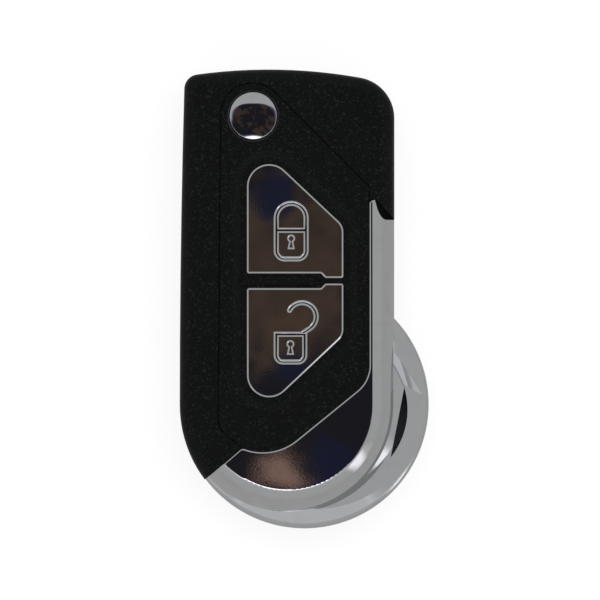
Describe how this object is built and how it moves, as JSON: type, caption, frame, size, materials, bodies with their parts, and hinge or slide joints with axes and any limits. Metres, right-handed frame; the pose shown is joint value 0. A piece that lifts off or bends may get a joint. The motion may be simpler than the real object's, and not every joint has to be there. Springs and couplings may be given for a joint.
{
  "type": "flip key remote shell",
  "caption": "Flip key remote shell with a round release button, lock and unlock buttons, a folding blade and a chrome corner frame with a key ring crescent.",
  "frame": {"origin": "middle of the outline's box, on the rear face", "axes": "+Z out of the front face with the buttons, +Y towards the end where the blade opens, +X to the right seen from the front"},
  "size_m": [0.0406, 0.075, 0.0161],
  "materials": {
    "soft_black": "soft-touch black",
    "dark_chrome": "polished",
    "inner_plastic": "satin",
    "silicone": "matt",
    "spring_steel": "drawn",
    "hinge_black": "satin black",
    "blade_metal": "nickel plated",
    "contact_metal": "nickel plated",
    "screw_steel": "blackened"
  },
  "bodies": {
    "case": {"rear_cover": "soft_black", "front_cover": "soft_black", "button_panel": "soft_black", "chrome_frame": "dark_chrome", "keypad": "silicone", "keypad_retainer": "inner_plastic", "flip_spring": "spring_steel", "spring_cap": "inner_plastic", "thrust_washer": "spring_steel", "contact_plus": "contact_metal", "contact_minus": "contact_metal", "case_screws": "screw_steel", "frame_screws": "screw_steel"},
    "blade": {"blade_head": "hinge_black", "key_blade": "blade_metal", "blade_pin": "spring_steel"},
    "release": {"release_button": "dark_chrome", "release_barrel": "inner_plastic"},
    "lock_key": {"lock_button": "dark_chrome"},
    "unlock_key": {"unlock_button": "dark_chrome"}
  },
  "joints": [
    {"name": "blade_flip", "type": "hinge", "parent": "case", "child": "blade", "pos_m": [-0.00835, 0.0299, 0.008], "axis": [0, 0, -1], "range_deg": [0, 180]},
    {"name": "release_press", "type": "slide", "parent": "blade", "child": "release", "axis": [0, 0, -1], "range_m": [0, 0.002], "stiffness_N_per_m": 900, "springref_m": -0.001, "deforming": ["flip_spring"]},
    {"name": "lock_press", "type": "slide", "parent": "case", "child": "lock_key", "axis": [0, 0, -1], "range_m": [0, 0.0006], "stiffness_N_per_m": 2500, "springref_m": -0.0002, "deforming": ["keypad"]},
    {"name": "unlock_press", "type": "slide", "parent": "case", "child": "unlock_key", "axis": [0, 0, -1], "range_m": [0, 0.0006], "stiffness_N_per_m": 2500, "springref_m": -0.0002, "deforming": ["keypad"]}
  ]
}
